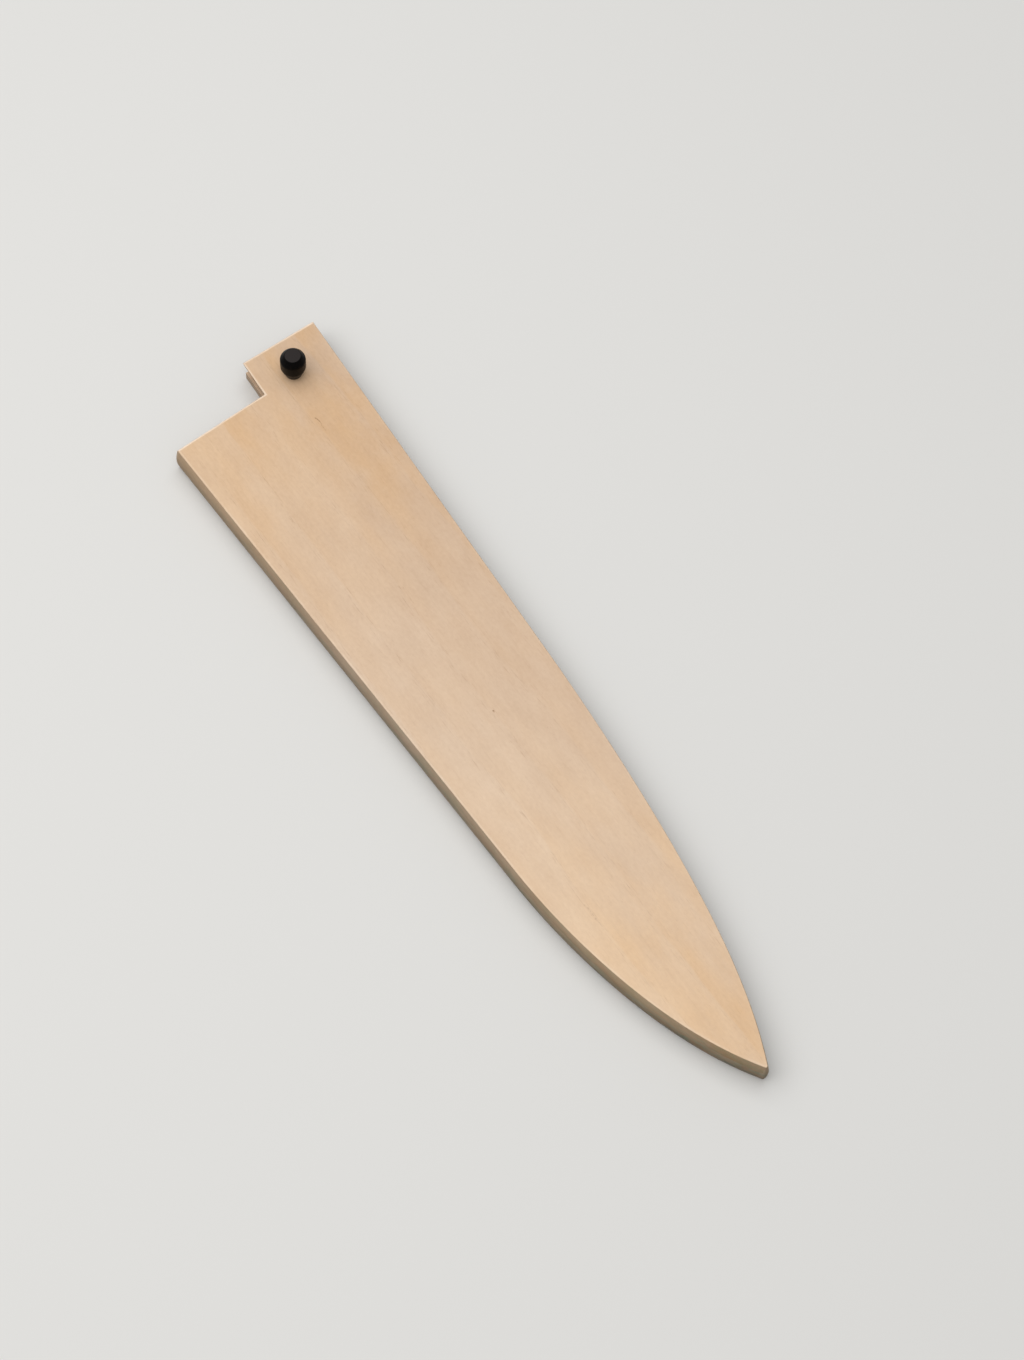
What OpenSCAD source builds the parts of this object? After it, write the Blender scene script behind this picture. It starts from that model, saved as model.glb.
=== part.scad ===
// Wooden blade guard (sheath) for a long kitchen knife, glued up from four boards and strips,
// with a turned pin through its neck that locks the knife in.
// Millimetres. X runs from the open mouth to the tip, Y towards the spine, Z up through the pin.

/* [Knife it fits] */
// Length of the blade, from its heel to its point
blade_l = 240; // [190:1:300]
// Height of the blade at its heel
blade_h = 48.7; // [40:0.1:62]
// Thickness of the blade at its spine
blade_t = 2.4; // [1.8:0.1:3.4]

/* [Boards and strips] */
// Thickness of each face board
plate_t = 3.2; // [2.2:0.1:4]
// Room left for the blade across its thickness
slot_gap = 0.6; // [0.3:0.1:1.2]
// Room left for the blade at its spine and at its edge, on each side
height_gap = 0.5; // [0.2:0.1:1.5]
// Width of the strip along the spine
spine_strip_w = 3.2; // [2.4:0.1:5]
// Width of the strip along the cutting edge
edge_strip_w = 3.3; // [2.4:0.1:5]
// Solid wood beyond the point of the blade
tip_wood = 8.6; // [7.5:0.1:14]

/* [Mouth and neck] */
// Length of the neck along the spine
neck_l = 11.8; // [9:0.1:20]
// Width of the neck, from the spine down
neck_w = 25; // [20:0.1:30]
// Angle of the neck's end from square to the spine, in degrees
neck_skew = 3.8; // [0:0.1:8]
// Angle of the heel end from square to the spine, in degrees
heel_skew = 5.7; // [0:0.1:8]
// How far the cut edge below the neck leans in through the upper board; the lower one is narrower by it
notch_lean = 0.8; // [0:0.1:2]

/* [Outline curves] */
// Angle between the straight cutting edge and the spine, in degrees
edge_angle = 4.24; // [2:0.01:5.5]
// Drop of the tip below the straight spine
tip_drop = 17.4; // [12:0.1:22]
// Length of the spine's curved run before the tip
spine_curve_l = 138; // [110:1:160]
// How much of the spine's bend gathers towards the tip
spine_fullness = 0.35; // [0:0.01:0.6]
// Length of the edge's curved run before the tip
edge_curve_l = 84; // [70:1:110]
// How much of the edge's bend gathers towards the tip
edge_fullness = 0.19; // [0:0.01:0.6]
// Radius of the tip's corner on the flat faces
tip_r = 0.3; // [0.2:0.05:1]

/* [Edge finish] */
// Width of the small bevel round each flat face
arris = 0.25; // [0.15:0.05:0.5]
// Height of the rounded crown on the long side walls
crown_h = 0.65; // [0.2:0.05:1.5]

/* [Pin] */
// Diameter of the shaft where it leaves the head
shaft_d = 5; // [4:0.1:6]
// How much thinner the shaft is at its lower end
shaft_taper = 0.5; // [0.2:0.1:1]
// Radial clearance of the shaft in its holes
pin_fit = 0.05; // [0.02:0.01:0.1]
// Diameter of the head
head_d = 7.7; // [6:0.1:10]
// Height of the taper under the head
head_taper_h = 3.7; // [2:0.1:6]
// Height of the head's straight barrel
head_barrel_h = 3.9; // [2:0.1:8]
// Height of the bevel on top of the head
head_bevel_h = 1.9; // [0.4:0.1:2.5]
// Diameter of the flat top of the head
head_top_d = 4.9; // [3:0.1:5.9]
// Gap from the shaft's end to the lower face, so that the sheath lies flat
shaft_short = 0.4; // [0.2:0.1:1]
// Bevel at the shaft's lower end
shaft_bevel = 0.4; // [0.2:0.1:0.8]
// Distance of the pin's axis behind the heel end
pin_back = 0.9; // [-1:0.1:3]
// Distance of the pin's axis from the spine
pin_in = 13.8; // [11:0.1:17]

/* [Hidden] */

wood = "#dcbd97";
strip_wood = "#cfae86";
ebony = "#1c1816";

// How far cutting shapes run past what they cut
over = 12;
// Straight pieces in each curved run, in the tip's corner and up each layer's crown
curve_steps = 48;
tip_steps = 6;
crown_steps = 5;

slot_t = blade_t + slot_gap;
total_t = 2 * plate_t + slot_t;
heel_w = blade_h + 2 * height_gap + spine_strip_w + edge_strip_w;
top_z = total_t;
upper_z = total_t - plate_t;

// Ends of the neck and of the heel: straight lines, given as X at a distance Y from the spine
function neck_x(y) = -y * tan(neck_skew);
function heel_x(y) = neck_l - y * tan(heel_skew);
heel_corner = [heel_x(-heel_w), -heel_w];
tip = [heel_corner[0] + blade_l + tip_wood, -tip_drop];
pin_at = [heel_x(-pin_in) - pin_back, -pin_in];

// The bend of a long side: 0 up to the start of its curve, then rising to 1 at the tip
function bend(u, fullness) = u <= 0 ? 0 : u * u * (1 + fullness * (pow(u, 4) - 1));
function bend_slope(u, fullness) = u <= 0 ? 0 : 2 * u * (1 - fullness) + 6 * fullness * pow(u, 5);

// Spine and cutting edge on the flat faces: height Y and slope at a place X
function spine_u(x) = (x - tip[0] + spine_curve_l) / spine_curve_l;
function spine_y(x) = -tip_drop * bend(spine_u(x), spine_fullness);
function spine_slope(x) = -tip_drop / spine_curve_l * bend_slope(spine_u(x), spine_fullness);
function edge_line_y(x) = -heel_w + (x - heel_corner[0]) * tan(edge_angle);
edge_rise = tip[1] - edge_line_y(tip[0]);
function edge_u(x) = (x - tip[0] + edge_curve_l) / edge_curve_l;
function edge_y(x) = edge_line_y(x) + edge_rise * bend(edge_u(x), edge_fullness);
function edge_slope(x) = tan(edge_angle) + edge_rise / edge_curve_l * bend_slope(edge_u(x), edge_fullness);

// Points of the two sides, moved outwards by a distance, and their outward directions
function spine_out(x) = [-spine_slope(x), 1] / norm([spine_slope(x), 1]);
function edge_out(x) = [edge_slope(x), -1] / norm([edge_slope(x), 1]);
function spine_at(x, out) = [x, spine_y(x)] + out * spine_out(x);
function edge_at(x, out) = [x, edge_y(x)] + out * edge_out(x);

// Places X along a side's curve, a little closer together towards the tip
function places(curve_l, to) =
    [for (i = [0:curve_steps]) tip[0] - curve_l + (to - tip[0] + curve_l) * pow(i / curve_steps, 0.8)];

// The tip's corner is an arc that touches both sides
tip_corner = let (a = spine_out(tip[0]), b = edge_out(tip[0])) tip - tip_r * (a + b) / (1 + a * b);
tip_from = atan2(edge_out(tip[0])[1], edge_out(tip[0])[0]);
tip_to = atan2(spine_out(tip[0])[1], spine_out(tip[0])[0]);
function tip_at(i, out) = let (a = tip_from + (tip_to - tip_from) * i / tip_steps)
    tip_corner + (tip_r + out) * [cos(a), sin(a)];

// The point where two straight lines meet, each given by its normal and its distance from 0
function meet(n1, c1, n2, c2) = [c1 * n2[1] - c2 * n1[1], c2 * n1[0] - c1 * n2[0]] / cross(n1, n2);
edge_n = [sin(edge_angle), -cos(edge_angle)];
neck_n = [cos(neck_skew), sin(neck_skew)];
heel_n = [cos(heel_skew), sin(heel_skew)];
spine_n = [0, 1];

// The closed outline seen from above, anticlockwise from the heel corner: the long sides moved out,
// and the sawn ends of the heel, notch and neck moved in, the notch's edge by its lean as well
function outline(out, in, lean) = concat(
    [meet(heel_n, heel_corner * heel_n + in, edge_n, heel_corner * edge_n + out)],
    [for (x = places(edge_curve_l, tip_at(0, 0)[0] - tip_r)) edge_at(x, out)],
    [for (i = [0:tip_steps]) tip_at(i, out)],
    [for (x = reverse(places(spine_curve_l, tip_at(tip_steps, 0)[0] - tip_r))) spine_at(x, out)],
    [meet(neck_n, in, spine_n, out)],
    [meet(neck_n, in, spine_n, in + lean - neck_w)],
    [meet(heel_n, heel_corner * heel_n + in, spine_n, in + lean - neck_w)]);
function reverse(list) = [for (i = [len(list) - 1:-1:0]) list[i]];

// Places of the outline's points in its list: along the edge, round the tip, along the spine, the mouth
function edge_i(i) = 1 + i;
function tip_i(i) = curve_steps + 2 + i;
function spine_i(i) = 2 * curve_steps + tip_steps + 3 - i;
neck_spine_i = spine_i(0) + 1;
neck_notch_i = spine_i(0) + 2;
notch_heel_i = spine_i(0) + 3;
outline_n = spine_i(0) + 4;

// Triangles that fill the outline, anticlockwise: the mouth, then across from edge to spine, the tip
outline_fill = concat(
    [[neck_notch_i, notch_heel_i, neck_spine_i], [notch_heel_i, spine_i(0), neck_spine_i],
        [notch_heel_i, 0, edge_i(0)], [notch_heel_i, edge_i(0), spine_i(0)]],
    [for (i = [0:curve_steps - 1])
        each [[edge_i(i), edge_i(i + 1), spine_i(i + 1)], [edge_i(i), spine_i(i + 1), spine_i(i)]]],
    [for (i = [0:tip_steps])
        [spine_i(curve_steps), i == 0 ? edge_i(curve_steps) : tip_i(i - 1), tip_i(i)]]);

// How far the side walls stand out at a height Z: a bevel, then the arc of the crown
crown_half = total_t / 2 - arris;
crown_r = (crown_half * crown_half + crown_h * crown_h) / (2 * crown_h);
function bulge(z) = z <= 0 || z >= total_t ? 0
    : arris + crown_h - crown_r + sqrt(crown_r * crown_r - pow(z - total_t / 2, 2));
function end_inset(z) = z <= 0 || z >= total_t ? arris : 0;
function lean_at(z) = notch_lean * min(1, (total_t - z) / plate_t);
function levels(z0, z1) = let (low = max(z0, arris), high = min(z1, total_t - arris))
    concat(z0 == 0 ? [0] : [],
        [for (i = [0:crown_steps]) low + (high - low) * i / crown_steps],
        z1 == total_t ? [total_t] : []);

// Middle of the whole object in plan, where the origin goes
widest = bulge(total_t / 2);
low_x = neck_x(widest);
high_x = max([for (i = [0:tip_steps]) tip_at(i, widest)[0]]);
low_y = min([for (x = [heel_x(-heel_w - widest), heel_corner[0]]) edge_at(x, widest)[1]]);
middle = [(low_x + high_x) / 2, (low_y + widest) / 2];

module in_place() {
    translate([-middle[0], -middle[1], 0])
        children();
}

// One layer of the sheath between two heights, with its share of the crowned side walls
module crowned_slab(z0, z1) {
    rings = [for (z = levels(z0, z1)) [for (p = outline(bulge(z), end_inset(z), lean_at(z))) [p[0], p[1], z]]];
    top = (len(rings) - 1) * outline_n;
    walls = [for (j = [0:len(rings) - 2], i = [0:outline_n - 1])
        let (a = j * outline_n + i, b = j * outline_n + (i + 1) % outline_n)
        each [[a, b + outline_n, b], [a, a + outline_n, b + outline_n]]];
    floor_face = outline_fill;
    top_face = [for (t = outline_fill) [top + t[2], top + t[1], top + t[0]]];
    polyhedron([for (ring = rings) each ring], concat(floor_face, top_face, walls));
}

module pin_hole() {
    translate([pin_at[0], pin_at[1], -over])
        cylinder(h = total_t + 2 * over, r = shaft_d / 2 + pin_fit, $fn = 64);
}

// The band of the middle layer along the spine, and the one along the cutting edge
module spine_band() {
    line = [for (x = places(spine_curve_l, tip[0] + over)) spine_at(x, -spine_strip_w)];
    translate([0, 0, -over])
        linear_extrude(total_t + 2 * over)
            polygon(concat([[-over, -spine_strip_w]], line, [[tip[0] + over, over], [-over, over]]));
}

module edge_band() {
    line = [for (x = places(edge_curve_l, tip[0] + over)) edge_at(x, -edge_strip_w)];
    end = line[len(line) - 1];
    far = -heel_w - 2 * over;
    start = meet([1, 0], -over, edge_n, heel_corner * edge_n - edge_strip_w);
    translate([0, 0, -over])
        linear_extrude(total_t + 2 * over)
            polygon(concat([start], line, [[end[0] + over, end[1]], [end[0] + over, far], [-over, far]]));
}

// A face board between two heights, with the pin's hole through it
module face_board(z0, z1) {
    color(wood)
        in_place()
            difference() {
                crowned_slab(z0, z1);
                pin_hole();
            }
}

module upper_plate() {
    face_board(upper_z, top_z);
}

module lower_plate() {
    face_board(0, plate_t);
}

// Runs the whole length of the spine, from the neck's end to the tip
module spine_strip() {
    color(strip_wood)
        in_place()
            intersection() {
                crowned_slab(plate_t, upper_z);
                spine_band();
            }
}

// Runs from the heel to the tip, where it butts against the spine strip
module edge_strip() {
    color(strip_wood)
        in_place()
            difference() {
                intersection() {
                    crowned_slab(plate_t, upper_z);
                    edge_band();
                }
                spine_band();
            }
}

// Turned in one piece: a bevelled head, a taper that meets the board, and a shaft through both holes
module pin() {
    head_z = top_z + head_taper_h;
    barrel_z = head_z + head_barrel_h;
    end_d = shaft_d - shaft_taper;
    color(ebony)
        in_place()
            translate([pin_at[0], pin_at[1], 0])
                rotate_extrude($fn = 96)
                    polygon([
                        [0, shaft_short],
                        [end_d / 2 - shaft_bevel, shaft_short],
                        [end_d / 2, shaft_short + shaft_bevel],
                        [shaft_d / 2, top_z],
                        [head_d / 2, head_z],
                        [head_d / 2, barrel_z],
                        [head_top_d / 2, barrel_z + head_bevel_h],
                        [0, barrel_z + head_bevel_h]
                    ]);
}

upper_plate();
lower_plate();
spine_strip();
edge_strip();
pin();
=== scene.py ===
# %% [markdown]
# # A wooden knife sheath with a turned pin
#
# The object is a flat sheath for a long kitchen knife. Two thin boards are glued to two strips,
# which leaves a slot for the blade. A small black pin drops through the neck and locks the knife
# in. This lesson starts from the measured model, its frame, and gives every piece the finish of
# the real one: edges broken with sandpaper, a crowned wall, grain, end grain and a turned pin.

# %% Load the frame
import math

import bpy
import numpy as np
from mathutils import Matrix, Vector
from mathutils.geometry import delaunay_2d_cdt


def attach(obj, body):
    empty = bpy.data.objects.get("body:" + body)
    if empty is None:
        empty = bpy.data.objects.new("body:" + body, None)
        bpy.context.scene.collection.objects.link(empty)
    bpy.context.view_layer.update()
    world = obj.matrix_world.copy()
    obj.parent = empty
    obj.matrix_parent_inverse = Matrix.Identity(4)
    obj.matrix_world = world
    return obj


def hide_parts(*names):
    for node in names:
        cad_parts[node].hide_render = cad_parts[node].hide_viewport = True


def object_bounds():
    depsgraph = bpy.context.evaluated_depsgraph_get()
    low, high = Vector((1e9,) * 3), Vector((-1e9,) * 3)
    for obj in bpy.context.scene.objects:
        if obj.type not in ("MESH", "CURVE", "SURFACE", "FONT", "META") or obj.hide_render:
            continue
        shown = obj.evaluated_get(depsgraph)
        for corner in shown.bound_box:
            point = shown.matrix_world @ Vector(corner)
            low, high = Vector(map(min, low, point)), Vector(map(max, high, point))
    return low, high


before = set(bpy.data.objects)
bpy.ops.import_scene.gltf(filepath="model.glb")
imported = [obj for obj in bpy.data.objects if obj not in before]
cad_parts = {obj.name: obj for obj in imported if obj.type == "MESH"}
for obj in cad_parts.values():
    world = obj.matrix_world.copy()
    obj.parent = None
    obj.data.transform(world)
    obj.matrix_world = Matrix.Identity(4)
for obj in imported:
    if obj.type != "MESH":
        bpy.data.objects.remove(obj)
cad_box = [list(corner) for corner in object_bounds()]
print("the measured model's box, in mm:", [[round(v * 1000, 2) for v in corner] for corner in cad_box])

# %% [markdown]
# ## The sheath's own coordinates
#
# A maker measures a sheath from the corner where the mouth meets the spine: X along the spine to
# the tip, Y negative towards the cutting edge. All sizes below are in metres from that corner, and
# `place` moves finished points into the frame, whose origin is the middle of the lower face.

# %% Sizes of the sheath
MM = 0.001
BOARD_T = 3.2 * MM
TOTAL_T = 9.4 * MM
HEEL_W = 56.2 * MM
NECK_W = 25 * MM
NECK_L = 11.8 * MM
NECK_SKEW = math.radians(3.8)
HEEL_SKEW = math.radians(5.7)
NOTCH_LEAN = 0.8 * MM
EDGE_ANGLE = math.radians(4.24)
TIP_DROP = 17.4 * MM
SPINE_CURVE_L, SPINE_FULLNESS = 138 * MM, 0.35
EDGE_CURVE_L, EDGE_FULLNESS = 84 * MM, 0.19
SPINE_STRIP_W, EDGE_STRIP_W = 3.2 * MM, 3.3 * MM
BLADE_AND_TIP = 248.6 * MM
TIP_R = 0.3 * MM
ARRIS = 0.25 * MM
CROWN_H = 0.65 * MM
PIN_IN, PIN_BACK = 13.8 * MM, 0.9 * MM
PIN_HOLE_R = 2.55 * MM

HEEL_CORNER = np.array([NECK_L + HEEL_W * math.tan(HEEL_SKEW), -HEEL_W])
TIP = np.array([HEEL_CORNER[0] + BLADE_AND_TIP, -TIP_DROP])
PIN_AT = np.array([NECK_L + PIN_IN * math.tan(HEEL_SKEW) - PIN_BACK, -PIN_IN])
BULGE = ARRIS + CROWN_H
CORNER = Vector((cad_box[0][0] + BULGE * math.tan(NECK_SKEW), cad_box[1][1] - BULGE, 0))


def place(points):
    """Points measured from the mouth's corner, as an array, moved into the frame."""
    return np.asarray(points, float) + np.array(CORNER)


print("the tip lies", round(TIP[0] / MM, 1), "mm from the mouth")

# %% [markdown]
# ## The camera
#
# The photograph looks down at the upper face from the cutting edge's side, with a long lens and a
# small roll. A camera is easiest to read as a point to aim at, a distance, two angles and a roll.

# %% The camera
FOCAL_PX = 3300
FRAME_HEIGHT_PX = 1360
SENSOR_MM = 36
CLIP_END = 20
AIM = Vector((131.83, -13.19, 8.8)) * MM
DISTANCE = 936.8 * MM
ELEVATION = math.radians(63.77)
HEADING = math.radians(144.04)
ROLL = math.radians(3.8)


def camera_matrix(aim, distance, elevation, heading, roll):
    """A level camera that looks along the heading and down by the elevation, turned by the roll."""
    ahead = Vector((math.cos(elevation) * math.cos(heading), math.cos(elevation) * math.sin(heading),
                    -math.sin(elevation)))
    right = ahead.cross(Vector((0, 0, 1))).normalized()
    up = right.cross(ahead)
    turn = Matrix((right, up, -ahead)).transposed() @ Matrix.Rotation(roll, 3, "Z")
    return Matrix.Translation(aim - ahead * distance) @ turn.to_4x4()


camera = bpy.data.objects.new("camera", bpy.data.cameras.new("camera"))
bpy.context.scene.collection.objects.link(camera)
camera.data.sensor_width = SENSOR_MM
camera.data.lens = FOCAL_PX / FRAME_HEIGHT_PX * SENSOR_MM
camera.data.clip_end = CLIP_END
camera.matrix_world = camera_matrix(AIM + CORNER, DISTANCE, ELEVATION, HEADING, ROLL)
bpy.context.scene.camera = camera
print("lens", round(camera.data.lens, 1), "mm")

# %% [markdown]
# ## The outline as formulas
#
# Both long sides are straight and then bend towards the tip. The same law bends each:
# u * u * (1 + f * (u ** 4 - 1)), where u runs from 0 at the start of the curve to 1 at the tip and
# f says how much of the bend gathers near the tip. Moving every point along the side's outward
# direction gives the outline at any height of the crowned wall.

# %% The two long sides


def bend(u, fullness):
    """The bend law and its slope, for an array of places u: 0 before the curve starts."""
    u = np.clip(u, 0, None)
    return (u * u * (1 + fullness * (u ** 4 - 1)),
            2 * u * (1 - fullness) + 6 * fullness * u ** 5)


def spine_side(x, out):
    """The spine at places x, moved outwards: a straight line that drops to the tip by the bend law."""
    value, slope = bend((x - TIP[0]) / SPINE_CURVE_L + 1, SPINE_FULLNESS)
    slope = -TIP_DROP / SPINE_CURVE_L * slope
    size = np.hypot(slope, 1)
    return np.column_stack([x - out * slope / size, -TIP_DROP * value + out / size])


def edge_side(x, out):
    """The cutting edge's side at places x, moved outwards: a slanted line that rises to the tip."""
    rise = TIP[1] + HEEL_W - BLADE_AND_TIP * math.tan(EDGE_ANGLE)
    value, slope = bend((x - TIP[0]) / EDGE_CURVE_L + 1, EDGE_FULLNESS)
    slope = math.tan(EDGE_ANGLE) + rise / EDGE_CURVE_L * slope
    y = -HEEL_W + (x - HEEL_CORNER[0]) * math.tan(EDGE_ANGLE) + rise * value
    size = np.hypot(slope, 1)
    return np.column_stack([x + out * slope / size, y - out / size])


both_ends = np.array([NECK_L, TIP[0]])
print("spine at the neck and the tip, in mm:", (spine_side(both_ends, 0) / MM).round(1).tolist())

# %% The tip's arc and the mouth's corners
TIP_STEPS = 9
SMALLEST_R = 0.05 * MM


def out_from(side):
    """The outward direction of a side at the tip, as the difference of two of its offsets."""
    at_tip = np.array([TIP[0]])
    return (side(at_tip, 1.0) - side(at_tip, 0.0))[0]


def tip_arc(out):
    """The tip's round corner: an arc that touches both sides, from the edge to the spine."""
    a, b = out_from(edge_side), out_from(spine_side)
    radius = max(TIP_R + out, SMALLEST_R)
    middle = TIP + (out - radius) * (a + b) / (1 + a @ b)
    angle = np.linspace(math.atan2(a[1], a[0]), math.atan2(b[1], b[0]), TIP_STEPS)
    return middle + radius * np.column_stack([np.cos(angle), np.sin(angle)])


def meet(p, along, q, across):
    """The point where the line through p meets the line through q."""
    s = np.linalg.solve(np.column_stack([along, -np.asarray(across)]), np.asarray(q) - p)
    return p + np.asarray(along) * s[0]


def mouth_corners(out, inset, lean):
    """The corners neck and spine, neck and notch, notch and heel, heel and edge, in that order.
    Each is where two straight sides meet: long sides moved out, sawn ends moved in, and the
    notch's edge moved in by its lean as well."""
    neck = np.array([inset / math.cos(NECK_SKEW), 0])
    heel = np.array([NECK_L + inset / math.cos(HEEL_SKEW), 0])
    neck_line = [math.sin(NECK_SKEW), -math.cos(NECK_SKEW)]
    heel_line = [math.sin(HEEL_SKEW), -math.cos(HEEL_SKEW)]
    edge = edge_side(np.array([HEEL_CORNER[0]]), out)[0]
    edge_line = [math.cos(EDGE_ANGLE), math.sin(EDGE_ANGLE)]
    notch = np.array([0, inset + lean - NECK_W])
    return np.array([meet(neck, neck_line, [0, out], [1, 0]), meet(neck, neck_line, notch, [1, 0]),
                     meet(heel, heel_line, notch, [1, 0]), meet(heel, heel_line, edge, edge_line)])


print("corners of the mouth, in mm:", (mouth_corners(0, 0, 0) / MM).round(1).tolist())

# %% [markdown]
# ## The whole outline and its crown
#
# The outline is one closed loop of points with the same count at every height, so that loops can
# be stacked into a wall. Its points stand closer where the sides bend most, at the tip. The wall
# isn't upright: it swells by a shallow arc, as a plane leaves it.

# %% The outline and the crown
SIDE_STEPS = 90
CROWDING = 0.85
NEAR_CORNER = 1.0 * MM
TRIM_PER_INSET = 2.2
EDGE_POINTS = SIDE_STEPS + 2
SPINE_FROM = EDGE_POINTS + TIP_STEPS


def outline(out, inset, lean):
    """The closed outline at one height, anticlockwise from the heel corner, as an array of points.
    Each long side has one point close to its corner, then points along its curve, t ** CROWDING
    of the way, which crowds them towards the tip. They end a little before the tip's arc."""
    t = np.linspace(0, 1, SIDE_STEPS) ** CROWDING
    trim = 2 * TIP_R + TRIM_PER_INSET * max(0, -out)
    corners = mouth_corners(out, inset, lean)
    edge_x = np.append(HEEL_CORNER[0] + NEAR_CORNER, TIP[0] - EDGE_CURVE_L + (EDGE_CURVE_L - trim) * t)
    spine_x = np.append(NEAR_CORNER, TIP[0] - SPINE_CURVE_L + (SPINE_CURVE_L - trim) * t)
    return np.concatenate([corners[3:], edge_side(edge_x, out), tip_arc(out),
                           spine_side(spine_x, out)[::-1], corners[:3]])


def bulge(z):
    """How far the long walls stand out at height z: the arc of a circle over the whole thickness."""
    half = TOTAL_T / 2 - ARRIS
    radius = (half * half + CROWN_H * CROWN_H) / (2 * CROWN_H)
    return ARRIS + CROWN_H - radius + np.sqrt(radius * radius - (z - TOTAL_T / 2) ** 2)


print("outline points:", len(outline(0, 0, 0)))

# %% [markdown]
# ## Turning rings into a mesh
#
# A board's wall is a stack of outlines. The sandpaper has rounded its upper arris, so the last
# rings follow a quarter circle instead of one flat bevel. The wall is a grid of quads; the two
# flat faces are filled by a constrained triangulation, which also leaves the pin's hole open.

# %% Mesh helpers
SMOOTH_BELOW = math.radians(30)


def volume(points, faces):
    """The volume inside a closed mesh, negative where its faces point inwards: a sum over cones."""
    total = 0.0
    for face in faces:
        corners = points[list(face)]
        total += np.sum(corners[0] * np.cross(corners[1:-1], corners[2:])) / 6
    return total


def make_object(name, points, faces, wear_and_highlight=None):
    """A mesh object at the origin from an array of points and a list of faces, turned to face
    outwards, with how pale each point is from wear and painted highlight, and shaded smooth except
    across sharper edges."""
    if volume(points, faces) < 0:
        faces = [list(face)[::-1] for face in faces]
    mesh = bpy.data.meshes.new(name)
    mesh.from_pydata(place(points).tolist(), [], faces)
    mesh.validate()
    if wear_and_highlight is not None:
        mesh.attributes.new("wear_and_highlight", "FLOAT", "POINT").data.foreach_set("value", wear_and_highlight)
    mesh.shade_smooth()
    mesh.set_sharp_from_angle(angle=SMOOTH_BELOW)
    piece = bpy.data.objects.new(name, mesh)
    bpy.context.scene.collection.objects.link(piece)
    return piece


def at_height(loop, z):
    """A flat loop of points, as points in space at one height."""
    return np.column_stack([loop, np.full(len(loop), z)])


def wall_quads(rings, around):
    """Quads between closed rings of points that are numbered one ring after another."""
    i, j = np.meshgrid(np.arange(around), np.arange(rings - 1))
    a = j * around + i
    b = j * around + (i + 1) % around
    return np.stack([a, b, b + around, a + around], axis=-1).reshape(-1, 4)


print("mesh helpers ready")

# %% Filling a flat face round a hole
INSIDE_OF_EDGES, SAME_POINT = 1, 1e-9


def fill(loop, hole=None):
    """Triangles over a flat outline, numbered along it, and round one hole, numbered after it."""
    n = len(loop)
    edges = [(i, (i + 1) % n) for i in range(n)]
    points = [Vector(p) for p in loop]
    if hole is not None:
        m = len(hole)
        points += [Vector(p) for p in hole]
        edges += [(n + i, n + (i + 1) % m) for i in range(m)]
    _, _, faces, source, _, _ = delaunay_2d_cdt(points, edges, [], INSIDE_OF_EDGES, SAME_POINT)
    faces = [[source[i][0] for i in face] for face in faces]
    if hole is not None:
        faces = [face for face in faces if min(face) < n]
    return faces


def renumber(faces, n, loop_from, hole_from):
    """A filled face's numbers, of which the first n are the outline's, as the mesh's own numbers."""
    return [[loop_from + i if i < n else hole_from + i - n for i in face] for face in faces]


def pin_hole(count=64):
    """The pin's hole as a ring of points, anticlockwise."""
    angle = np.linspace(0, 2 * math.pi, count, endpoint=False)
    return PIN_AT + PIN_HOLE_R * np.column_stack([np.cos(angle), np.sin(angle)])


print("triangles in a face with its hole:", len(fill(outline(0, 0, 0), pin_hole())))

# %% The profile of a board's wall
# on the flat face: how far in from the arris a ring lies, and how pale it is from wear and painted
# highlight
FACE_RINGS = ((0.18 * MM, 1.0), (0.5 * MM, 0.0))


def board_profile(crown_rings=14, arris_rings=6):
    """Rings of the upper board's wall from its glued face up: height, how far out, how far in, and how
    pale from wear and painted highlight. The crown's arc comes first, then a quarter circle of the
    arris's radius over the top edge, and last two rings on the flat face, over which the arris's pale
    look and painted highlight fade."""
    z = np.linspace(TOTAL_T - BOARD_T, TOTAL_T - ARRIS, crown_rings)
    turn = np.linspace(0, math.pi / 2, arris_rings)[1:]
    crown = [(height, out, 0.0, 0.0) for height, out in zip(z, bulge(z))]
    arris = [(TOTAL_T - ARRIS * (1 - math.sin(a)), ARRIS * math.cos(a),
              ARRIS * (1 - math.cos(a)), math.sin(a)) for a in turn]
    flat = [(TOTAL_T, -width, ARRIS + width, wear_and_highlight) for width, wear_and_highlight in FACE_RINGS]
    return crown + arris + flat


print("rings in a board's wall:", len(board_profile()))

# %% [markdown]
# ## Where the wood is pale, with painted highlight
#
# Broken edges and fresh cuts are paler than the rest of the wood, and on the arrises, the sawn ends
# and the tip's end that paleness is partly a painted highlight. How pale each point is goes into
# the mesh as an attribute, which the material reads, so that the look follows the shape and needs
# no painted picture.

# %% Pale places and painted highlight
# how pale each place is, partly wear and partly a painted highlight; the tip's end is pale as a painted
# highlight
EDGE_PALENESS, SPINE_PALENESS, NOTCH_PALENESS, TIP_PALENESS, CUT_PALENESS = 0.32, 0.12, 0.8, 0.4, 0.5
SIDE_CORNERS, NOTCH_CORNERS = [0, -3], [-2, -1]
TIP_END_L = 0.1 * MM


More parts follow.
